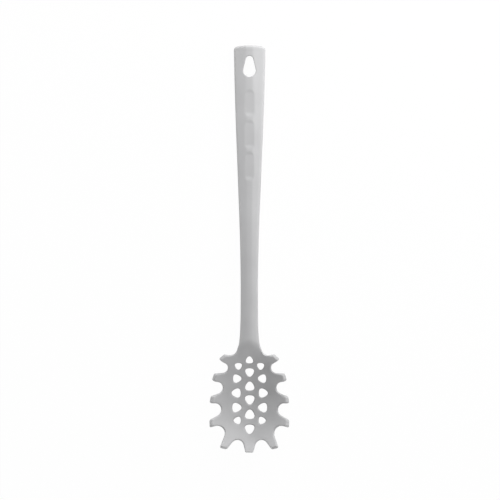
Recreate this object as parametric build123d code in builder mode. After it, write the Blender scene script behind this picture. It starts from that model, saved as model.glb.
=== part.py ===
from build123d import *
from math import asin, cos, radians, sin, sqrt
import os

# A pasta server: a soft silicone skin moulded all round a stiff nylon core.
# It lies on its back. X runs across, Y from the head to the handle's end, Z up.
# The origin is on the worktop, in the middle of the length.

# Overall
overall_length = 330.0
overrun = 6.0

# Bowl of the head: an arc across, rolled along a tight curve below and a long one above
bowl_wall = 4.0
bowl_across_radius = 44.0
bowl_across_turn = 70.0
bowl_lower_radius = 50.0
bowl_lower_turn = 62.0
bowl_upper_radius = 75.0
bowl_upper_turn = 40.0
cavity_upper_turn = 44.0
bowl_section_shares = [0.33, 0.67, 1.0]
core_section_shares = [0.17, 0.33, 0.5, 0.67, 0.83, 1.0]

# Ring of teeth, each with a flat end cut square to the wall, towards the bowl's focus
head_half_width = 33.0
tip_reach = 38.7
tip_level = 16.5
tip_focus_gap = 2.0
# across share, along share: the two ends of each flat, from the end tooth up
tip_shares = [
    (0.0, -1.0),
    (0.25, -1.0),
    (0.48, -0.997),
    (0.92, -1.066),
    (1.06, -0.65),
    (0.927, -0.215),
    (0.933, -0.07),
    (0.845, 0.24),
    (0.927, 0.395),
    (0.764, 0.703),
    (0.824, 0.891),
    (0.515, 1.124),
    (0.515, 2.07),
    (0.0, 2.07),
]

# Rounded gaps between the teeth
notch_radius = 5.0
notch_length = 24.0
notch_depth = 40.0
# across share, along share, radius share, aim in degrees, flare in degrees
notch_shares = [
    (0.470, 1.204, 1.32, 55.0, 40.0),
    (0.669, 0.772, 0.88, 16.5, 15.2),
    (0.818, 0.357, 1.00, -1.7, 15.4),
    (0.870, -0.108, 1.08, -12.5, 13.1),
    (0.803, -0.606, 1.25, -42.1, 26.1),
    (0.302, -0.885, 1.09, -78.7, 27.0),
]

# Drain holes, triangles with bulging sides and blunt corners
drain_radius = 4.85
drain_bulge = 0.8
drain_corner = 1.2
# across share, along share, apex direction in degrees, size share
drain_shares = [
    (0.0, 0.934, 90.0, 0.78),
    (0.0, 0.678, -90.0, 0.93),
    (0.0, 0.374, 90.0, 0.98),
    (0.0, 0.100, -90.0, 1.0),
    (0.0, -0.220, 90.0, 1.02),
    (0.0, -0.511, -90.0, 1.0),
    (0.273, 0.808, -90.0, 0.75),
    (0.315, 0.544, 180.0, 0.9),
    (0.325, 0.238, 0.0, 0.98),
    (0.328, -0.068, 180.0, 1.0),
    (0.300, -0.337, 0.0, 0.78),
]

# Neck, from the bowl up: distance from the bowl's middle, half width,
# height of the flat along the front, height of the back
neck_stations = [
    (34.8, 9.6, 22.4, 9.6),
    (46.0, 8.9, 22.2, 11.6),
    (51.0, 8.15, 22.1, 12.2),
    (56.6, 7.5, 21.9, 12.6),
]
# Handle: share of the way from the neck to the end, then the same three sizes
grip_shares = [0.117, 0.310, 0.530, 0.752, 0.901, 1.0]
grip_stations = [
    (6.85, 20.6, 12.0),
    (7.45, 18.6, 9.8),
    (9.35, 16.2, 6.6),
    (11.4, 13.4, 2.4),
    (12.4, 12.0, -0.3),
    (12.85, 11.2, -1.0),
]
# A narrow flat runs along the front, which falls from it to the sides by a share of the way
flat_half_width = 3.0
front_fall_share = 0.32
# The sides lean in from the belly to a narrower back
belly_share = 0.38
back_half_share = 0.60
# Rounding of the section's corners from the back up, as shares of its depth
section_round_shares = [0.2, 0.3, 0.2, 0.6]
handle_end_arch = 60.0
handle_end_corner = 3.2

# Hanging hole, a teardrop with its narrow end up
hang_wide_radius = 5.2
hang_narrow_radius = 3.1
hang_wide_from_end = 20.8
hang_narrow_from_end = 11.7

# Three thumb rests, shallow scallops across the flat
rest_length = 21.5
rest_depth = 0.55
# distance from the handle's end, height of the flat there
rest_places = [(47.3, 12.0), (72.3, 12.9), (96.9, 13.9)]

# Nylon core
core_cover = 1.1
core_width_share = 0.60
core_front_share = 0.30
core_back_share = 0.22
core_from_end = 4.0
core_window_half_width = 14.9
core_window_top = 41.0
core_window_bottom = -25.4
core_window_corner = 8.0

half_length = overall_length / 2
bowl_y = tip_reach - half_length
arc_centre_z = bowl_wall + bowl_across_radius
tip_focus_height = arc_centre_z + tip_focus_gap
neck_end = neck_stations[-1][0]
grip_length = half_length - bowl_y - neck_end
handle_stations = neck_stations + [
    (neck_end + share * grip_length, *sizes) for share, sizes in zip(grip_shares, grip_stations)
]
end_half = handle_stations[-1][1]
end_y = half_length - handle_end_arch + sqrt(handle_end_arch**2 - end_half**2)


def bowl_section(radius, long_radius, turn):
    """Everything above an arc across the bowl, on a plane swung along the bowl's length."""
    swing = radians(turn)
    along = Vector(0, cos(swing), sin(swing))
    up = Vector(0, -sin(swing), cos(swing))
    axis_z = bowl_wall + long_radius
    origin = Vector(0, bowl_y, axis_z) - up * axis_z
    half = radius * sin(radians(bowl_across_turn))
    rim_z = arc_centre_z - radius * cos(radians(bowl_across_turn))
    with BuildSketch(Plane(origin, x_dir=(1, 0, 0), z_dir=-along)) as section:
        with BuildLine():
            ThreePointArc((-half, rim_z), (0, arc_centre_z - radius), (half, rim_z))
            Polyline((half, rim_z), (half, arc_centre_z), (-half, arc_centre_z), (-half, rim_z))
        make_face()
    return section.sketch.face()


def bowl_bulk(radius, upper_turn, turn_shares, ruled=False):
    lower = [
        bowl_section(radius, bowl_lower_radius, -share * bowl_lower_turn)
        for share in reversed(turn_shares)
    ]
    upper = [bowl_section(radius, bowl_upper_radius, share * upper_turn) for share in turn_shares]
    with BuildPart() as bulk:
        loft([*lower, bowl_section(radius, bowl_upper_radius, 0), *upper], ruled=ruled)
    return bulk.part


def tip_cone(inset):
    """Everything inside the flat ends of the teeth, as a pyramid towards the bowl's focus."""
    with BuildPart() as cone:
        for level in (-overrun, arc_centre_z - overrun):
            with BuildSketch(Plane((0, bowl_y, level))):
                with BuildLine():
                    Polyline([(x * head_half_width, y * tip_reach) for x, y in tip_shares])
                    mirror(about=Plane.YZ)
                make_face()
                offset(amount=-inset)
                scale(by=(tip_focus_height - level) / (tip_focus_height - tip_level))
        loft(ruled=True)
    return cone.part


def notch_tools(grow):
    with BuildPart() as tools:
        for across, along, radius_share, aim, flare in notch_shares:
            for side in (1, -1):
                x = side * across * head_half_width
                y = bowl_y + along * tip_reach
                root = radius_share * notch_radius + grow
                mouth = root + notch_length * sin(radians(flare))
                reach_x = side * notch_length * cos(radians(aim))
                reach_y = notch_length * sin(radians(aim))
                with BuildSketch(Plane.XY.offset(-overrun)):
                    with Locations((x, y)):
                        Circle(root)
                    with Locations((x + reach_x, y + reach_y)):
                        Circle(mouth)
                    make_hull()
                extrude(amount=notch_depth + 2 * overrun)
    return tools.part


def drain_tools(grow):
    with BuildPart() as tools:
        for across, along, apex, size_share in drain_shares:
            size = size_share * drain_radius
            for side in (1, -1) if across else (1,):
                x = side * across * head_half_width
                y = bowl_y + along * tip_reach
                turn = apex if side > 0 else 180 - apex
                corners = [Vector(size, 0).rotate(Axis.Z, turn + spin) for spin in (0, 120, 240)]
                middles = [
                    Vector(size / 2 + drain_bulge, 0).rotate(Axis.Z, turn + spin)
                    for spin in (60, 180, 300)
                ]
                with BuildSketch(Plane((x, y, -overrun))) as hole:
                    with BuildLine():
                        ThreePointArc(corners[0], middles[0], corners[1])
                        ThreePointArc(corners[1], middles[1], corners[2])
                        ThreePointArc(corners[2], middles[2], corners[0])
                    make_face()
                    chamfer(hole.vertices(), length=size_share * drain_corner)
                    offset(amount=grow)
                extrude(amount=notch_depth)
    return tools.part


def hang_tool(grow):
    with BuildPart() as tool:
        with BuildSketch(Plane.XY.offset(-overrun)):
            with Locations((0, half_length - hang_wide_from_end)):
                Circle(hang_wide_radius + grow)
            with Locations((0, half_length - hang_narrow_from_end)):
                Circle(hang_narrow_radius + grow)
            make_hull()
        extrude(amount=notch_depth)
    return tool.part


with BuildPart() as head:
    add(bowl_bulk(bowl_across_radius + bowl_wall, bowl_upper_turn, bowl_section_shares))
    add(tip_cone(0), mode=Mode.INTERSECT)
    add(notch_tools(0), mode=Mode.SUBTRACT)

with BuildPart() as handle:
    for y, half, front, back in handle_stations:
        depth = front - back
        with BuildSketch(Plane((0, bowl_y + y, 0), x_dir=(1, 0, 0), z_dir=(0, -1, 0))) as section:
            with BuildLine():
                Polyline(
                    (0, front),
                    (flat_half_width, front),
                    (half, front - front_fall_share * (half - flat_half_width)),
                    (half, back + belly_share * depth),
                    (back_half_share * half, back),
                    (0, back),
                )
                mirror(about=Plane.YZ)
            make_face()
            for step, radius_share in enumerate(section_round_shares):
                corners = section.vertices().sort_by(Axis.Y)[4 * step : 4 * step + 2]
                fillet(corners, radius=radius_share * depth)
    loft(ruled=True)
    with BuildSketch(Plane.XY.offset(-overrun)) as end_outline:
        with BuildLine():
            arch = RadiusArc((-end_half, end_y), (end_half, end_y), handle_end_arch)
            Polyline(arch @ 1, (end_half, bowl_y), (-end_half, bowl_y), arch @ 0)
        make_face()
        fillet(end_outline.vertices().group_by(Axis.Y)[-1], radius=handle_end_corner)
    extrude(amount=notch_depth, mode=Mode.INTERSECT)

with BuildPart() as rests:
    for from_end, front in rest_places:
        y = half_length - from_end
        with BuildSketch(Plane.YZ):
            with BuildLine():
                low = ThreePointArc(
                    (y - rest_length / 2, front),
                    (y, front - rest_depth),
                    (y + rest_length / 2, front),
                )
                Line(low @ 1, low @ 0)
            make_face()
        extrude(amount=rest_length / 2, both=True)

with BuildPart() as core_bar:
    for y, half, front, back in handle_stations:
        depth = front - back
        front_z = front - core_front_share * depth
        back_z = back + core_back_share * depth
        with BuildSketch(Plane((0, bowl_y + y, 0), x_dir=(1, 0, 0), z_dir=(0, -1, 0))):
            with Locations((0, (front_z + back_z) / 2)):
                Rectangle(2 * core_width_share * half, front_z - back_z)
    loft()

with BuildPart() as core:
    outer_radius = bowl_across_radius + bowl_wall - core_cover
    add(bowl_bulk(outer_radius, bowl_upper_turn, core_section_shares, ruled=True))
    add(tip_cone(2 * core_cover), mode=Mode.INTERSECT)
    add(notch_tools(core_cover), mode=Mode.SUBTRACT)
    add(core_bar.part)
    with BuildSketch(Plane.XY.offset(-overrun)):
        with Locations((0, bowl_y + (core_window_top + core_window_bottom) / 2)):
            window_length = core_window_top - core_window_bottom
            RectangleRounded(2 * core_window_half_width, window_length, core_window_corner)
    extrude(amount=notch_depth + 2 * overrun, mode=Mode.SUBTRACT)
    split(bisect_by=Plane.XZ.offset(core_from_end - half_length), keep=Keep.TOP)
    inner_radius = bowl_across_radius + core_cover
    inner = bowl_bulk(inner_radius, cavity_upper_turn, core_section_shares, ruled=True)
    add(inner, mode=Mode.SUBTRACT)
    add(drain_tools(core_cover), mode=Mode.SUBTRACT)
    add(hang_tool(core_cover), mode=Mode.SUBTRACT)
core.part.label = "nylon_core"

with BuildPart() as skin:
    add(head.part)
    add(handle.part)
    cavity = bowl_bulk(bowl_across_radius, cavity_upper_turn, bowl_section_shares)
    add(cavity, mode=Mode.SUBTRACT)
    add(drain_tools(0), mode=Mode.SUBTRACT)
    add(hang_tool(0), mode=Mode.SUBTRACT)
    add(rests.part, mode=Mode.SUBTRACT)
    split(bisect_by=Plane.XY, keep=Keep.TOP)
    add(core.part, mode=Mode.SUBTRACT)
skin.part.label = "silicone_skin"
os.makedirs("parts", exist_ok=True)
export_step(skin.part, "parts/silicone_skin.step")
export_step(core.part, "parts/nylon_core.step")
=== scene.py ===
# A pale grey pasta server, lying on its back on a plain floor, bowl up.
# The CAD frame is in metres: X across, Y from the bowl to the handle's end, Z up.
import math

import bmesh
import bpy
import numpy as np
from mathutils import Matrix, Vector
from mathutils.geometry import delaunay_2d_cdt
from mathutils.kdtree import KDTree


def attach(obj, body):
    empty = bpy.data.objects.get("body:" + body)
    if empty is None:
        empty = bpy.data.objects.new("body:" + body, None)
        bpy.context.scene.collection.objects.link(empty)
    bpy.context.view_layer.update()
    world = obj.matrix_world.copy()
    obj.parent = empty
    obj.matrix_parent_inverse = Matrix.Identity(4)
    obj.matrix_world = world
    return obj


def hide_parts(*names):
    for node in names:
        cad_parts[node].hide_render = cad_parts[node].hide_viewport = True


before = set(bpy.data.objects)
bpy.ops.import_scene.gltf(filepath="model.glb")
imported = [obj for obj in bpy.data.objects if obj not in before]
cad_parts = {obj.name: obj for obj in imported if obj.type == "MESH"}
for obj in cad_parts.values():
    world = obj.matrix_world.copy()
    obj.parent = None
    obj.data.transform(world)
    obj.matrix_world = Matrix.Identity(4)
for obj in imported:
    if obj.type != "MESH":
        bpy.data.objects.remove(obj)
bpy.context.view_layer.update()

# Nylon core: a stiff bar with an eye at the hanging hole and a toothed ring in the bowl's
# wall, injection moulded in glass-filled nylon. The silicone covers all of it, so it is the
# CAD's solid, kept well between the skin's two faces, which are given here.

# Sizes are in millimetres, and y is measured from the bowl's middle up to the handle.
BOWL_Y = -126.3
WALL = 4.0
ACROSS_RADIUS = 44.0
LOWER_RADIUS = 50.0
UPPER_RADIUS = 75.0
# Past the teeth the bowl goes on level, so that its height is a number everywhere
LEVEL_X = 36.0
LEVEL_RISE = 10.0

# Neck and handle: y, half width, half width of the front's flat, front height, back height
STATIONS = np.array([
    (34.8, 9.6, 2.8, 22.4, 9.6),
    (46.0, 8.9, 2.6, 22.2, 11.6),
    (51.0, 8.15, 2.4, 22.1, 12.2),
    (56.6, 7.5, 2.3, 21.9, 12.6),
    (84.0, 6.85, 2.2, 20.6, 12.0),
    (129.4, 7.45, 2.2, 18.6, 9.8),
    (181.0, 9.35, 2.4, 16.2, 6.6),
    (233.0, 11.4, 2.6, 13.4, 2.4),
    (268.0, 12.4, 2.8, 12.0, -0.3),
    (291.3, 12.85, 2.9, 11.2, -1.0),
])
# The front slopes down on both sides of its flat, by a share of the handle's depth
SLOPE_SHARE = 0.27
# How softly the flat turns into the slopes, at two places along the handle
FLAT_BLEND = ((60, 170), (1.8, 0.7))
# The back is rounded over the outer half of its width, by a share of the depth
BACK_FLAT_SHARE = 0.5
BACK_ROUND_SHARE = 0.12
# Beyond their sides the neck's faces rise steeply, out of the way of the bowl's faces
SIDE_LIFT = 3.0
FRONT_SIDE_SPARE = 0.5
# How softly the neck runs into the bowl, and the handle's back into its flat end
CREST_BLEND = 5.0
NECK_BACK_BLEND = 2.5
REST_FLAT_BLEND = 0.6
ABOVE_ALL = 99.0

# Thumb rests: y of the top, y of the bottom. How far their end walls and their arched ends
# reach is a share of their length, and the softness of their border grows with the depth.
THUMB_RESTS = [(255.2, 233.2), (230.4, 206.8), (204.8, 181.4)]
REST_DEPTH = 0.66
REST_TOP_DEPTH_SHARE = 0.7
REST_HALF_WIDTH = 3.7
REST_TOP_WALL, REST_BOTTOM_WALL = 0.08, 0.16
REST_TOP_ARCH, REST_BOTTOM_ARCH = 0.3, 0.35
REST_HOLLOW = 0.004
REST_SIDE_RISE = 0.9
REST_BLEND = (0.05, 0.2)

CORE_COVER = 0.7
# Long edges of the core's ring and crest, in metres, are cut so that they can bend
CORE_BENDS_BELOW_Y = -0.06
CORE_LONG_EDGE = 0.003
# Glass fibres flow along the bar: streaks of about 1 mm across, drawn out along it, with a
# relief in metres
STREAK_SCALE = 900
STREAK_STRETCH = 0.15
STREAK_RELIEF = 0.00005


def follow(y, places, values):
    """A smooth curve through values at places, read at y."""
    slopes = np.gradient(values, places)
    i = np.clip(np.searchsorted(places, y) - 1, 0, len(places) - 2)
    step = places[i + 1] - places[i]
    t = np.clip((y - places[i]) / step, 0, 1)
    return (
        values[i] * (1 + 2 * t) * (1 - t) ** 2
        + slopes[i] * step * t * (1 - t) ** 2
        + values[i + 1] * t * t * (3 - 2 * t)
        - slopes[i + 1] * step * t * t * (1 - t)
    )


def handle_section(y):
    """Half width, half width of the flat, front height and back height at y."""
    return (follow(y, STATIONS[:, 0], STATIONS[:, k]) for k in (1, 2, 3, 4))


def soft_least(a, b, blend):
    """The lesser of a and b, rounded where they cross."""
    h = np.clip(0.5 + 0.5 * (b - a) / blend, 0, 1)
    return b * (1 - h) + a * h - blend * h * (1 - h)


def bowl_height(x, y, wall):
    """The bowl's inside at wall 0 and its outside at wall WALL: an arc rolled along an arc."""
    arc = ACROSS_RADIUS + wall
    across = WALL + ACROSS_RADIUS - np.sqrt(arc**2 - np.minimum(np.abs(x), LEVEL_X) ** 2)
    axis = WALL + np.where(y < 0, LOWER_RADIUS, UPPER_RADIUS)
    return axis - np.sqrt(np.maximum((axis - across) ** 2 - y**2, LEVEL_RISE**2))


def front_height(x, y):
    """The skin's front face: the handle with its rests, running softly into the bowl."""
    half, flat, front, back = handle_section(y)
    past = np.minimum(np.abs(x), half) - flat
    bevel = SLOPE_SHARE * (front - back) / (half - flat)
    blend = np.interp(y, *FLAT_BLEND)
    handle = front - bevel * 0.5 * (past + np.sqrt(past**2 + blend**2))
    handle = handle + SIDE_LIFT * np.maximum(np.abs(x) - half - FRONT_SIDE_SPARE, 0) ** 2
    for top, bottom in THUMB_RESTS:
        down = np.clip((top - y) / (top - bottom), 0, 1)
        arch = np.clip(np.minimum(down / REST_TOP_ARCH, (1 - down) / REST_BOTTOM_ARCH), 0, 1)
        spread = REST_HALF_WIDTH * np.sqrt(1 - (1 - arch) ** 2)
        sunk = np.clip(np.minimum(down / REST_TOP_WALL, (1 - down) / REST_BOTTOM_WALL), 0, 1)
        deepening = REST_TOP_DEPTH_SHARE + (1 - REST_TOP_DEPTH_SHARE) * down
        scoop = sunk * sunk * (3 - 2 * sunk) * deepening
        floor = front - REST_DEPTH * scoop + REST_HOLLOW * x**2
        floor = floor + REST_SIDE_RISE * np.maximum(np.abs(x) - spread, 0) ** 2
        softness = REST_BLEND[0] + REST_BLEND[1] * scoop
        handle = np.where(scoop > 0, soft_least(handle, floor, softness), handle)
    handle = np.where(y < 0, ABOVE_ALL, handle)
    return soft_least(handle, bowl_height(x, y, 0), CREST_BLEND)


def back_height(x, y):
    """The skin's back face, which is cut flat where the handle's end rests on the floor."""
    half, flat, front, back = handle_section(y)
    back = -soft_least(-back, 0 * back, REST_FLAT_BLEND)
    share = np.maximum(np.abs(x) / half - BACK_FLAT_SHARE, 0) / (1 - BACK_FLAT_SHARE)
    handle = back + BACK_ROUND_SHARE * (front - back) * share**2
    handle = handle + SIDE_LIFT * np.maximum(np.abs(x) - half, 0) ** 2
    handle = np.where(y < 0, ABOVE_ALL, handle)
    return soft_least(handle, bowl_height(x, y, WALL), NECK_BACK_BLEND)


def linear(code):
    """An sRGB hex colour as linear red, green, blue and alpha."""
    parts = [int(code[i : i + 2], 16) / 255 for i in (1, 3, 5)]
    return [c / 12.92 if c <= 0.04045 else ((c + 0.055) / 1.055) ** 2.4 for c in parts] + [1]


def add_node(tree, kind, settings={}, **inputs):
    """A node with its settings, and its inputs set or linked by name or by number."""
    node = tree.nodes.new(kind)
    for name, value in settings.items():
        setattr(node, name, value)
    for name, value in inputs.items():
        key = name.replace("_", " ")
        socket = node.inputs[int(key[1:])] if key[1:].isdigit() else node.inputs[key]
        if isinstance(value, bpy.types.NodeSocket):
            tree.links.new(value, socket)
        else:
            socket.default_value = value
    return node


def filled_nylon():
    """Glass-filled nylon 6, moulded: dark, dry, with flow streaks along the bar."""
    made = bpy.data.materials.new("glass_filled_nylon")
    made.use_nodes = True
    tree = made.node_tree
    tree.nodes.clear()
    place = add_node(tree, "ShaderNodeTexCoord").outputs["Object"]
    stretched = add_node(
        tree, "ShaderNodeMapping", Vector=place, Scale=(1, STREAK_STRETCH, 1)
    )
    streak = add_node(
        tree, "ShaderNodeTexNoise", Vector=stretched.outputs[0], Scale=STREAK_SCALE, Detail=3
    )
    colour = add_node(tree, "ShaderNodeValToRGB", Fac=streak.outputs["Fac"])
    colour.color_ramp.elements[0].color = linear("#2b2b2d")
    colour.color_ramp.elements[1].color = linear("#3a3a3c")
    bump = add_node(
        tree,
        "ShaderNodeBump",
        Height=streak.outputs["Fac"],
        Strength=0.2,
        Distance=STREAK_RELIEF,
    )
    shader = add_node(
        tree,
        "ShaderNodeBsdfPrincipled",
        Base_Color=colour.outputs[0],
        Normal=bump.outputs[0],
        Roughness=0.6,
        IOR=1.53,
    )
    add_node(tree, "ShaderNodeOutputMaterial", Surface=shader.outputs[0])
    return made


core_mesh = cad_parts["nylon_core"].data.copy()
core_mesh.name = "nylon_bar"
work = bmesh.new()
work.from_mesh(core_mesh)
bmesh.ops.remove_doubles(work, verts=work.verts, dist=1e-6)
long_edges = [
    e
    for e in work.edges
    if e.verts[0].co.y < CORE_BENDS_BELOW_Y and e.calc_length() > CORE_LONG_EDGE
]
bmesh.ops.subdivide_edges(work, edges=long_edges, cuts=2, use_grid_fill=True)
places = np.array([v.co for v in work.verts]) * 1000 - (0, BOWL_Y, 0)
highest = front_height(places[:, 0], places[:, 1]) - CORE_COVER
lowest = back_height(places[:, 0], places[:, 1]) + CORE_COVER
for v, low, high in zip(work.verts, lowest, highest):
    if low < high:
        v.co.z = min(max(v.co.z, low / 1000), high / 1000)
work.to_mesh(core_mesh)
work.free()
core_mesh.materials.clear()
core_mesh.materials.append(filled_nylon())
core = bpy.data.objects.new("nylon_bar", core_mesh)
bpy.context.collection.objects.link(core)
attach(core, "root")
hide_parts("nylon_core")

# Silicone skin: the whole outer form, moulded in one over the core, in food-grade silicone.
# The bowl curves both ways, with eleven blunt teeth round its rim and sixteen drain holes.
# The neck rises out of it into a tapering handle with three thumb rests and a hanging hole.

# Gaps between the teeth, from the end of the bowl up: x, y, radius, aim, flare in degrees
GAPS = [
    (9.97, -34.26, 5.43, -78.7, 27.0),
    (26.51, -23.46, 6.26, -42.1, 26.1),
    (28.72, -4.19, 5.41, -12.5, 13.1),
    (27.00, 13.81, 4.98, -1.7, 15.4),
    (22.08, 30.3, 4.38, 17.0, 16.4),
    (15.54, 46.35, 5.67, 47.4, 31.9),
]
# Tooth ends: x, y, the way the end looks in degrees, and its lean, which is 0 for an
# upright end and 1 for one that is square to the wall
TOOTH_ENDS = [
    (0.0, -38.5, -90.0, 0.15),
    (22.08, -35.15, -74.9, 0.6),
    (32.66, -15.91, -2.6, 1.0),
    (32.46, 3.38, 9.4, 1.0),
    (30.1, 22.5, 18.0, 1.0),
    (23.8, 38.9, 46.9, 1.0),
]
TOOTH_CORNER = 1.9
GAP_LEAN = 0.3
# Where the last gap's arc, in degrees, leaves off for the neck's side
NECK_STARTS_AT = -155

# The neck's and handle's side: y, half width
NECK_SIDE = np.array([
    (43.95, 10.4), (45.95, 9.55), (48.8, 8.6), (54.8, 7.75), (64.6, 7.25), (84.0, 7.0),
    (129.4, 7.5), (181.0, 9.35), (233.0, 11.35), (268.0, 12.4), (291.3, 12.85),
])
HANDLE_END = 291.28
END_ARCH = 60.0
END_ARCH_HALF_ANGLE = 7
END_CORNER = 3.2
# The last straight of the side starts this far before the corner, x and y, and the
# points along the side leave off this far before it
END_STRAIGHT = (0.1, 8)
END_CORNER_ROOM = 6
# Points along a rounded corner, a gap, a side, the end's arch, and the hanging hole's arcs
CORNER_POINTS = 9
GAP_POINTS = 15
SIDE_POINTS = 160
ARCH_POINTS = 8
HANG_WIDE_POINTS = 60
HANG_NARROW_POINTS = 30
# A corner's arc takes up at most this share of the shorter side
CORNER_SHARE = 0.48

# Hanging hole, a teardrop: y and radius of its wide and of its narrow end. Its wall has
# draft, by which the hole is smaller at the back.
HANG_WIDE = (270.9, 5.1)
HANG_NARROW = (279.6, 3.1)
HANG_DRAFT = 0.7
HANG_WALL = 10


def slope(height, x, y):
    """How steeply a height rises along x and along y."""
    e = 0.02
    return np.stack([
        (height(x + e, y) - height(x - e, y)) / (2 * e),
        (height(x, y + e) - height(x, y - e)) / (2 * e),
    ], axis=1)


def heading(degrees):
    """The unit step in a direction."""
    return np.array([math.cos(math.radians(degrees)), math.sin(math.radians(degrees))])


def crossing(p, d, q, e):
    """Where the line from p along d meets the line from q along e."""
    return p + np.linalg.solve(np.array([d, -e]).T, q - p)[0] * d


def rounded(before, corner, after, radius):
    """The corner between two points, rounded as an arc that leaves room at both."""
    u, w = before - corner, after - corner
    far = min(np.hypot(*u), np.hypot(*w)) * CORNER_SHARE
    u, w = u / np.hypot(*u), w / np.hypot(*w)
    half_angle = math.acos(np.clip(u @ w, -1, 1)) / 2
    reach = min(radius / math.tan(half_angle), far)
    radius = reach * math.tan(half_angle)
    centre = corner + (u + w) / np.hypot(*(u + w)) * radius / math.sin(half_angle)
    first = math.atan2(*(corner + u * reach - centre)[::-1])
    last = math.atan2(*(corner + w * reach - centre)[::-1])
    turn = (last - first + math.pi) % (2 * math.pi) - math.pi
    steps = np.linspace(0, 1, CORNER_POINTS)
    return [centre + radius * heading(math.degrees(first + turn * t)) for t in steps]


def tooth_and_gap(end_row, gap_row, flank, last_angle):
    """Half a rim's tooth and the gap after it, and the gap's far flank: a point, a heading."""
    end_x, end_y, looks, lean = end_row
    x, y, radius, aim, flare = gap_row
    points = []
    middle, end = np.array([x, y]), np.array([end_x, end_y])
    along = heading(looks + 90)
    near = middle + radius * heading(aim - flare - 90)
    upper = crossing(near, heading(aim - flare), end, along)
    if flank is None:
        points.append((*end, lean))
        lower = end
    else:
        lower = crossing(*flank, end, along)
        corner = rounded(flank[0], lower, (lower + upper) / 2, TOOTH_CORNER)
        points += [(*p, lean) for p in corner]
    corner = rounded((lower + upper) / 2, upper, near, TOOTH_CORNER)
    points += [(*p, lean) for p in corner]
    for angle in np.linspace(aim - flare - 90, last_angle, GAP_POINTS):
        points.append((*(middle + radius * heading(angle)), GAP_LEAN))
    return points, (middle + radius * heading(aim + flare + 90), heading(aim + flare))


def server_outline():
    """The outline of the server, once round from the bowl's end: x, y, lean."""
    half = []
    flank = None
    for gap_row, end_row in zip(GAPS, TOOTH_ENDS):
        aim, flare = gap_row[3:]
        last_angle = NECK_STARTS_AT if gap_row is GAPS[-1] else aim + flare - 270
        points, flank = tooth_and_gap(end_row, gap_row, flank, last_angle)
        half += points
    end_half = NECK_SIDE[-1][1]
    end_y = HANDLE_END - END_ARCH + math.sqrt(END_ARCH**2 - end_half**2)
    for y in np.linspace(NECK_SIDE[0][0] + 1, end_y - END_CORNER_ROOM, SIDE_POINTS):
        half.append((float(follow(np.array([y]), *NECK_SIDE.T)[0]), y, 0.0))
    corner = np.array([end_half, end_y])
    arch = np.array([0, HANDLE_END - END_ARCH])
    arch_starts = 90 - END_ARCH_HALF_ANGLE
    beyond = arch + END_ARCH * heading(arch_starts)
    before = corner - END_STRAIGHT
    half += [(*p, 0.0) for p in rounded(before, corner, beyond, END_CORNER)]
    for angle in np.linspace(arch_starts, 90, ARCH_POINTS):
        half.append((*(arch + END_ARCH * heading(angle)), 0.0))
    half = np.array(half)
    other = half[-2:0:-1] * (-1, 1, 1)
    return np.concatenate([half, other])


def hang_outline():
    """The hanging hole's outline, counterclockwise: x, y, lean."""
    (wide_y, wide), (narrow_y, narrow) = HANG_WIDE, HANG_NARROW
    tilt = math.degrees(math.asin((wide - narrow) / (narrow_y - wide_y)))
    points = []
    for y, radius, angles in (
        (wide_y, wide, np.linspace(180 - tilt, 360 + tilt, HANG_WIDE_POINTS)),
        (narrow_y, narrow, np.linspace(tilt, 180 - tilt, HANG_NARROW_POINTS)),
    ):
        points += [(*(np.array([0, y]) + radius * heading(a)), 0.0) for a in angles]
    return np.array(points)


def evenly(points, step):
    """A closed outline with its points at an even distance."""
    ring = np.concatenate([points, points[:1]])
    length = np.concatenate([[0], np.cumsum(np.hypot(*np.diff(ring[:, :2], axis=0).T))])
    spots = np.linspace(0, length[-1], int(round(length[-1] / step)) + 1)[:-1]
    return np.stack([np.interp(spots, length, column) for column in ring.T], axis=1)


# The drain holes repeat one rounded triangle at several sizes, so Geometry Nodes place it:
# a circle pushed out at three corners, at each hole's place, turned and scaled.
# x, y, way the corner points in degrees, size. A hole with an x has a twin on the left.
DRAIN_HOLES = [
    (0.0, 36.15, 90, 0.78), (0.0, 26.25, -90, 0.93), (0.0, 14.45, 90, 0.98),
    (0.0, 3.85, -90, 1.0), (0.0, -8.5, 90, 1.02), (0.0, -19.8, -90, 1.0),
    (9.0, 31.3, -90, 0.75), (10.4, 21.0, 180, 0.9), (10.7, 9.2, 0, 0.98),
    (10.8, -2.65, 180, 1.0), (9.9, -13.05, 0, 0.78),
]
DRAIN_RADIUS = 3.72
DRAIN_CORNER = 0.1
DRAIN_BLUNT = 0.012
DRAIN_POINTS = 48


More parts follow.
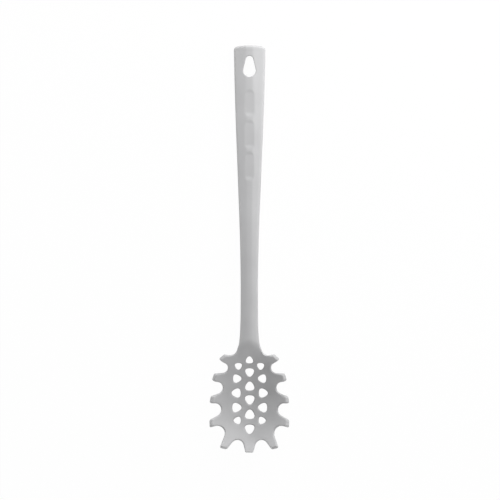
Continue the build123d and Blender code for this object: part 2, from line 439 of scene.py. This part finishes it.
def drain_tree():
    """The node tree that puts one rounded triangle on each of the given points."""
    tree = bpy.data.node_groups.new("drain_holes", "GeometryNodeTree")
    face = tree.interface
    for name, kind in (
        ("Geometry", "NodeSocketGeometry"),
        ("Radius", "NodeSocketFloat"),
        ("Corner", "NodeSocketFloat"),
        ("Blunt", "NodeSocketFloat"),
        ("Points", "NodeSocketInt"),
        ("Material", "NodeSocketMaterial"),
    ):
        face.new_socket(name, in_out="INPUT", socket_type=kind)
    face.new_socket("Geometry", in_out="OUTPUT", socket_type="NodeSocketGeometry")
    given = add_node(tree, "NodeGroupInput").outputs
    circle = add_node(
        tree, "GeometryNodeMeshCircle", Vertices=given["Points"], Radius=given["Radius"]
    )
    place = add_node(tree, "GeometryNodeInputPosition").outputs[0]
    apart = add_node(tree, "ShaderNodeSeparateXYZ", Vector=place).outputs
    angle = add_node(
        tree, "ShaderNodeMath", {"operation": "ARCTAN2"}, i0=apart[1], i1=apart[0]
    ).outputs[0]
    push = 1.0
    for times, amount in ((3, given["Corner"]), (6, given["Blunt"])):
        many = add_node(
            tree, "ShaderNodeMath", {"operation": "MULTIPLY"}, i0=angle, i1=times
        ).outputs[0]
        wave = add_node(tree, "ShaderNodeMath", {"operation": "COSINE"}, i0=many).outputs[0]
        push = add_node(
            tree, "ShaderNodeMath", {"operation": "MULTIPLY_ADD"}, i0=wave, i1=amount, i2=push
        ).outputs[0]
    pushed = add_node(
        tree, "ShaderNodeVectorMath", {"operation": "SCALE"}, i0=place, Scale=push
    )
    shaped = add_node(
        tree,
        "GeometryNodeSetPosition",
        Geometry=circle.outputs[0],
        Position=pushed.outputs[0],
    )
    turn = add_node(
        tree, "GeometryNodeInputNamedAttribute", {"data_type": "FLOAT_VECTOR"}, Name="turn"
    )
    size = add_node(
        tree, "GeometryNodeInputNamedAttribute", {"data_type": "FLOAT"}, Name="size"
    )
    placed = add_node(
        tree,
        "GeometryNodeInstanceOnPoints",
        Points=given["Geometry"],
        Instance=shaped.outputs[0],
        Rotation=turn.outputs[0],
        Scale=size.outputs[0],
    )
    real = add_node(tree, "GeometryNodeRealizeInstances", Geometry=placed.outputs[0])
    dressed = add_node(
        tree,
        "GeometryNodeSetMaterial",
        Geometry=real.outputs[0],
        Material=given["Material"],
    )
    add_node(tree, "NodeGroupOutput", Geometry=dressed.outputs[0])
    return tree


def drain_outlines(material):
    """The outline of each drain hole, as one array of points a hole."""
    holes = []
    for x, y, looks, size in DRAIN_HOLES:
        holes.append((x, y, looks, size))
        if x:
            holes.append((-x, y, 180 - looks, size))
    mesh = bpy.data.meshes.new("drain_places")
    mesh.from_pydata([(x, y, 0) for x, y, looks, size in holes], [], [])
    mesh.attributes.new("turn", "FLOAT_VECTOR", "POINT")
    mesh.attributes.new("size", "FLOAT", "POINT")
    for i, (x, y, looks, size) in enumerate(holes):
        mesh.attributes["turn"].data[i].vector = (0, 0, math.radians(looks))
        mesh.attributes["size"].data[i].value = size
    places = bpy.data.objects.new("drain_places", mesh)
    bpy.context.collection.objects.link(places)
    nodes = places.modifiers.new("holes", "NODES")
    nodes.node_group = drain_tree()
    given = {
        "Radius": DRAIN_RADIUS,
        "Corner": DRAIN_CORNER,
        "Blunt": DRAIN_BLUNT,
        "Points": DRAIN_POINTS,
        "Material": material,
    }
    for item in nodes.node_group.interface.items_tree:
        if item.in_out == "INPUT" and item.name in given:
            nodes[item.identifier] = given[item.name]
    shown = places.evaluated_get(bpy.context.evaluated_depsgraph_get())
    outlines = bpy.data.meshes.new_from_object(shown)
    points = np.array([v.co[:2] for v in outlines.vertices])
    bpy.data.objects.remove(places)
    bpy.data.meshes.remove(outlines)
    return points.reshape(len(holes), DRAIN_POINTS, 2)


# Slow clouds of handling dust, 22 mm across, and the blasted mould's grain, which is 0.45 mm
# here, coarser than the real 0.1 mm, so that it can show. The relief is in metres.
CLOUD_SCALE = 45
GRAIN_SCALE = 2200
GRAIN_RELIEF = 0.00004


def soft_silicone():
    """Food-grade silicone rubber, moulded against fine-blasted steel: satin, a little dusty."""
    made = bpy.data.materials.new("moulded_silicone")
    made.use_nodes = True
    tree = made.node_tree
    tree.nodes.clear()
    place = add_node(tree, "ShaderNodeTexCoord").outputs["Object"]
    cloud = add_node(tree, "ShaderNodeTexNoise", Vector=place, Scale=CLOUD_SCALE, Detail=3)
    colour = add_node(tree, "ShaderNodeValToRGB", Fac=cloud.outputs["Fac"])
    colour.color_ramp.elements[0].position = 0.3
    colour.color_ramp.elements[1].position = 0.7
    colour.color_ramp.elements[0].color = linear("#bbbbbc")
    colour.color_ramp.elements[1].color = linear("#c1c1c2")
    grain = add_node(tree, "ShaderNodeTexNoise", Vector=place, Scale=GRAIN_SCALE, Detail=2)
    bump = add_node(
        tree,
        "ShaderNodeBump",
        Height=grain.outputs["Fac"],
        Strength=0.12,
        Distance=GRAIN_RELIEF,
    )
    shader = add_node(
        tree,
        "ShaderNodeBsdfPrincipled",
        Base_Color=colour.outputs[0],
        Normal=bump.outputs[0],
        Roughness=0.52,
        IOR=1.42,
        Sheen_Weight=0.08,
        Sheen_Roughness=0.5,
    )
    add_node(tree, "ShaderNodeOutputMaterial", Surface=shader.outputs[0])
    return made


# Rims: how far the front's and the back's edge are rounded, at places along y. The blunt
# ends of the lower teeth get a little more at the front.
FRONT_RIM = ((40, 56, 270, 291), (1.1, 1.7, 2.0, 1.9))
BACK_RIM = ((36, 56, 84, 150, 233, 275, 291), (1.1, 2.5, 2.6, 2.8, 3.6, 3.1, 2.4))
TOOTH_RIM_MORE = ((0, 20), (0.4, 0))
HANG_RIM = (0.8, 2.0)
DRAIN_RIM = (0.9, 0.9)
RIM_STEPS = 7
WALL_STEPS = 3

# Spacing of the mesh's points: along the outlines, over the front and over the back
OUTLINE_STEP = 0.6
FRONT_STEP = 1.05
BACK_STEP = 1.5
# Over the bowl the points lie on a triangular grid, above ROWS_FROM in rows on the handle
ROWS_FROM = 52
GRID_FROM = -40
GRID_ROW = 0.87
HANDLE_ROW = 1.1
HANDLE_MARGIN = 1.5
HANDLE_ROW_WIDTH = 22
CLEAR_OF_RIM = 0.62

OUTER, HANG = 0, 1


def rim_radius(number, y, lean):
    """How far the front and the back edge of an outline are rounded, at y."""
    if number == OUTER:
        front = np.interp(y, *FRONT_RIM) + np.interp(y, *TOOTH_RIM_MORE) * lean
        return front, np.interp(y, *BACK_RIM)
    front, back = HANG_RIM if number == HANG else DRAIN_RIM
    return np.full(len(y), front), np.full(len(y), back)


def rim_rings(loop, number):
    """Rings of points from the front face, round the rim, to the back face."""
    p = loop[:, :2]
    lean = sum(np.roll(loop[:, 2], k) for k in range(-2, 3)) / 5
    tangent = np.roll(p, -1, axis=0) - np.roll(p, 1, axis=0)
    tangent /= np.hypot(*tangent.T)[:, None]
    inward = np.stack([-tangent[:, 1], tangent[:, 0]], axis=1)
    front_r, back_r = rim_radius(number, p[:, 1], lean)
    if number == HANG:
        p = p + HANG_DRAFT * inward
    bottom = back_height(p[:, 0], p[:, 1])
    normal = np.c_[-slope(back_height, p[:, 0], p[:, 1]), np.ones(len(p))]
    normal /= np.linalg.norm(normal, axis=1)[:, None]
    wall = (1 - lean[:, None]) * np.array([0, 0, 1.0]) + lean[:, None] * normal
    if number == HANG:
        wall = wall - np.c_[HANG_DRAFT / HANG_WALL * inward, np.zeros(len(p))]
    wall /= np.linalg.norm(wall, axis=1)[:, None]
    reach = np.full(len(p), WALL)
    for _ in range(30):
        top = p + reach[:, None] * wall[:, :2]
        short = front_height(top[:, 0], top[:, 1]) - bottom - reach * wall[:, 2]
        reach += 0.5 * short / wall[:, 2]
    rings = []
    turns = np.linspace(0, math.pi / 2, RIM_STEPS)
    top = p + reach[:, None] * wall[:, :2]
    for height, edge, radius, sign, order in (
        (front_height, top, front_r, -1, turns),
        (back_height, p, back_r, 1, turns[::-1]),
    ):
        steep = np.sum(slope(height, edge[:, 0], edge[:, 1]) * inward, axis=1)
        shrink = 1 / np.sqrt(1 + steep**2)
        for turn in order:
            inset = radius * (1 - math.sin(turn))
            q = edge + inward * (inset * shrink)[:, None]
            drop = radius * (1 - math.cos(turn))
            point = np.c_[q, height(q[:, 0], q[:, 1])]
            rings.append(point + sign * drop[:, None] * wall)
        if sign < 0:
            above = rings[-1]
            below = np.c_[p, bottom] + back_r[:, None] * wall
            between = np.linspace(0, 1, WALL_STEPS + 2)[1:-1]
            rings += [above + (below - above) * t for t in between]
    return rings


def inside(points, outlines):
    """Which points lie within the first outline and outside the others."""
    odd = np.zeros(len(points), bool)
    for ring in outlines:
        for (ax, ay), (bx, by) in zip(ring, np.roll(ring, -1, axis=0)):
            if ay == by:
                continue
            spans = (ay > points[:, 1]) != (by > points[:, 1])
            meets = ax + (points[:, 1] - ay) * (bx - ax) / (by - ay)
            odd ^= spans & (points[:, 0] < meets)
    return odd


def face_points(step, outlines):
    """Points spread over a face: a grid over the bowl, and rows that follow the handle."""
    spread = []
    row = step * GRID_ROW
    for y in np.arange(GRID_FROM, ROWS_FROM, row):
        shift = 0.5 * step * (round(y / row) % 2)
        spread += [(x + shift, y) for x in np.arange(-LEVEL_X, LEVEL_X, step)]
    for y in np.arange(ROWS_FROM, HANDLE_END, step * HANDLE_ROW):
        half = float(follow(np.array([y]), STATIONS[:, 0], STATIONS[:, 1])[0]) - HANDLE_MARGIN
        count = int(round(HANDLE_ROW_WIDTH / step))
        spread += [(half * (2 * k / count - 1), y) for k in range(count + 1)]
    spread = np.array(spread)
    spread = spread[inside(spread, outlines)]
    border = np.concatenate(outlines)
    tree = KDTree(len(border))
    for i, (x, y) in enumerate(border):
        tree.insert((x, y, 0), i)
    tree.balance()
    clear = CLEAR_OF_RIM * step
    return np.array([p for p in spread if tree.find((p[0], p[1], 0))[2] > clear])


silicone = soft_silicone()
loops = [evenly(server_outline(), OUTLINE_STEP), evenly(hang_outline()[::-1], OUTLINE_STEP)]
loops += [np.c_[p, np.zeros(len(p))][::-1] for p in drain_outlines(silicone)]

# The rims come first, as rings of quads. Their outermost rings border the two faces.
vertices = []
faces = []
front_rings = []
back_rings = []
for number, loop in enumerate(loops):
    rings = rim_rings(loop, number)
    start = len(vertices)
    count = len(loop)
    for ring in rings:
        vertices += list(map(tuple, ring))
    for k in range(len(rings) - 1):
        for i in range(count):
            j = (i + 1) % count
            a, b = start + k * count, start + (k + 1) * count
            faces.append((a + i, a + j, b + j, b + i))
    front_rings.append((start, rings[0]))
    back_rings.append((start + (len(rings) - 1) * count, rings[-1]))

# Then each face is filled with triangles between its borders.
for rings, height, step in (
    (front_rings, front_height, FRONT_STEP),
    (back_rings, back_height, BACK_STEP),
):
    outlines = [ring[:, :2] for start, ring in rings]
    known, edges, numbers = [], [], []
    for start, ring in rings:
        first = len(known)
        known += [Vector((x, y)) for x, y, z in ring]
        numbers += range(start, start + len(ring))
        edges += [(first + i, first + (i + 1) % len(ring)) for i in range(len(ring))]
    added = face_points(step, outlines)
    for (x, y), z in zip(added, height(added[:, 0], added[:, 1])):
        known.append(Vector((x, y)))
        numbers.append(len(vertices))
        vertices.append((x, y, z))
    points, _, triangles, sources, _, _ = delaunay_2d_cdt(known, edges, [], 0, 1e-6)
    triangles = np.array(triangles)
    middles = np.array(points)[triangles].mean(axis=1)
    back_to = np.array([numbers[source[0]] if source else -1 for source in sources])
    kept = back_to[triangles[inside(middles, outlines)]]
    faces += kept[(kept >= 0).all(axis=1)].tolist()

mesh = bpy.data.meshes.new("silicone_body")
mesh.from_pydata([(x / 1000, (y + BOWL_Y) / 1000, z / 1000) for x, y, z in vertices], [], faces)
work = bmesh.new()
work.from_mesh(mesh)
bmesh.ops.recalc_face_normals(work, faces=work.faces)
work.to_mesh(mesh)
work.free()
mesh.shade_smooth()
mesh.materials.append(silicone)
skin = bpy.data.objects.new("silicone_body", mesh)
bpy.context.collection.objects.link(skin)
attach(skin, "root")
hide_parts("silicone_skin")

# Floor: a plain white studio table that the server lies on. The camera sees it as white
# paper with the server's faint shadow, and the light sees it as matt white board.
FLOOR_HALF = 6.0
SEEN_WHITE = 0.98


def in_sight(tree):
    """1 for the rays that see the background: from the camera, or by way of gloss or glass."""
    path = add_node(tree, "ShaderNodeLightPath").outputs
    clamped_sum = {"operation": "ADD", "use_clamp": True}
    both = add_node(
        tree, "ShaderNodeMath", clamped_sum, i0=path["Is Camera Ray"], i1=path["Is Glossy Ray"]
    )
    return add_node(
        tree, "ShaderNodeMath", clamped_sum, i0=both.outputs[0], i1=path["Is Transmission Ray"]
    ).outputs[0]


floor_mesh = bpy.data.meshes.new("floor")
corners = [(-1, -1), (1, -1), (1, 1), (-1, 1)]
floor_mesh.from_pydata(
    [(x * FLOOR_HALF, y * FLOOR_HALF, 0) for x, y in corners], [], [(0, 1, 2, 3)]
)
floor = bpy.data.objects.new("floor", floor_mesh)
bpy.context.collection.objects.link(floor)
paper = bpy.data.materials.new("white_board")
paper.use_nodes = True
tree = paper.node_tree
tree.nodes.clear()
board = add_node(tree, "ShaderNodeBsdfDiffuse", Color=linear("#f6f6f6"))
white = add_node(tree, "ShaderNodeEmission", Color=(1, 1, 1, 1), Strength=1)
seen = add_node(
    tree, "ShaderNodeMath", {"operation": "MULTIPLY"}, i0=in_sight(tree), i1=SEEN_WHITE
)
both = add_node(
    tree, "ShaderNodeMixShader", i0=seen.outputs[0], i1=board.outputs[0], i2=white.outputs[0]
)
add_node(tree, "ShaderNodeOutputMaterial", Surface=both.outputs[0])
floor_mesh.materials.append(paper)

# Light: a dim white room all round and six plain soft lamps. Three stand above, on the
# right, beyond the handle's end and beyond the bowl's end, and three graze the floor.
ROOM_LIGHT = 0.26
world = bpy.data.worlds.new("studio")
bpy.context.scene.world = world
world.use_nodes = True
tree = world.node_tree
tree.nodes.clear()
room = add_node(tree, "ShaderNodeBackground", Color=(1, 1, 1, 1), Strength=ROOM_LIGHT)
seen_white = add_node(tree, "ShaderNodeBackground", Color=(1, 1, 1, 1), Strength=1)
both = add_node(
    tree,
    "ShaderNodeMixShader",
    i0=in_sight(tree),
    i1=room.outputs[0],
    i2=seen_white.outputs[0],
)
add_node(tree, "ShaderNodeOutputWorld", Surface=both.outputs[0])

# Name, place, where it points, width and power, in metres and watts
LAMPS = [
    ("right_lamp", (0.5, 0.35, 0.45), (0, 0, 0), 0.35, 2.0),
    ("top_lamp", (0.15, 0.65, 0.4), (0, 0, 0), 0.35, 3.35),
    ("front_lamp", (0.0, -1.0, 0.25), (0, 0, 0), 0.4, 2.6),
    ("low_left_lamp", (-0.6, 0.05, 0.07), (0, 0.05, 0.01), 0.13, 0.85),
    ("low_right_lamp", (0.6, 0.1, 0.07), (0, 0.05, 0.01), 0.13, 0.5),
    ("low_top_lamp", (0.1, 0.7, 0.08), (0, 0.1, 0.01), 0.15, 0.55),
]
for name, place, target, width, power in LAMPS:
    data = bpy.data.lights.new(name, "AREA")
    data.shape = "DISK"
    data.size = width
    data.energy = power
    lamp = bpy.data.objects.new(name, data)
    lamp.location = place
    lamp.rotation_euler = (Vector(target) - Vector(place)).to_track_quat("-Z", "Y").to_euler()
    bpy.context.collection.objects.link(lamp)

# Camera: over the server with a long lens, turned 1.7 degrees to its right and tipped 0.8
# degrees along it, as the photograph was taken.
CAMERA_FAR = 3.0
CAMERA_TURN = math.radians(1.7)
CAMERA_PITCH = math.radians(-0.8)
CAMERA_AIM = (0.0001, -0.001, 0.0)
FRAME_WIDTH = 0.40655
SENSOR_WIDTH = 36
camera_data = bpy.data.cameras.new("camera")
camera_data.sensor_width = SENSOR_WIDTH
camera_data.lens = SENSOR_WIDTH * CAMERA_FAR / FRAME_WIDTH
camera_data.clip_end = 20
camera = bpy.data.objects.new("camera", camera_data)
bpy.context.collection.objects.link(camera)
camera.rotation_euler = (CAMERA_PITCH, CAMERA_TURN, 0)
away = camera.rotation_euler.to_matrix() @ Vector((0, 0, 1))
camera.location = away * CAMERA_FAR + Vector(CAMERA_AIM)
bpy.context.scene.camera = camera
bpy.context.scene.view_settings.view_transform = "Standard"
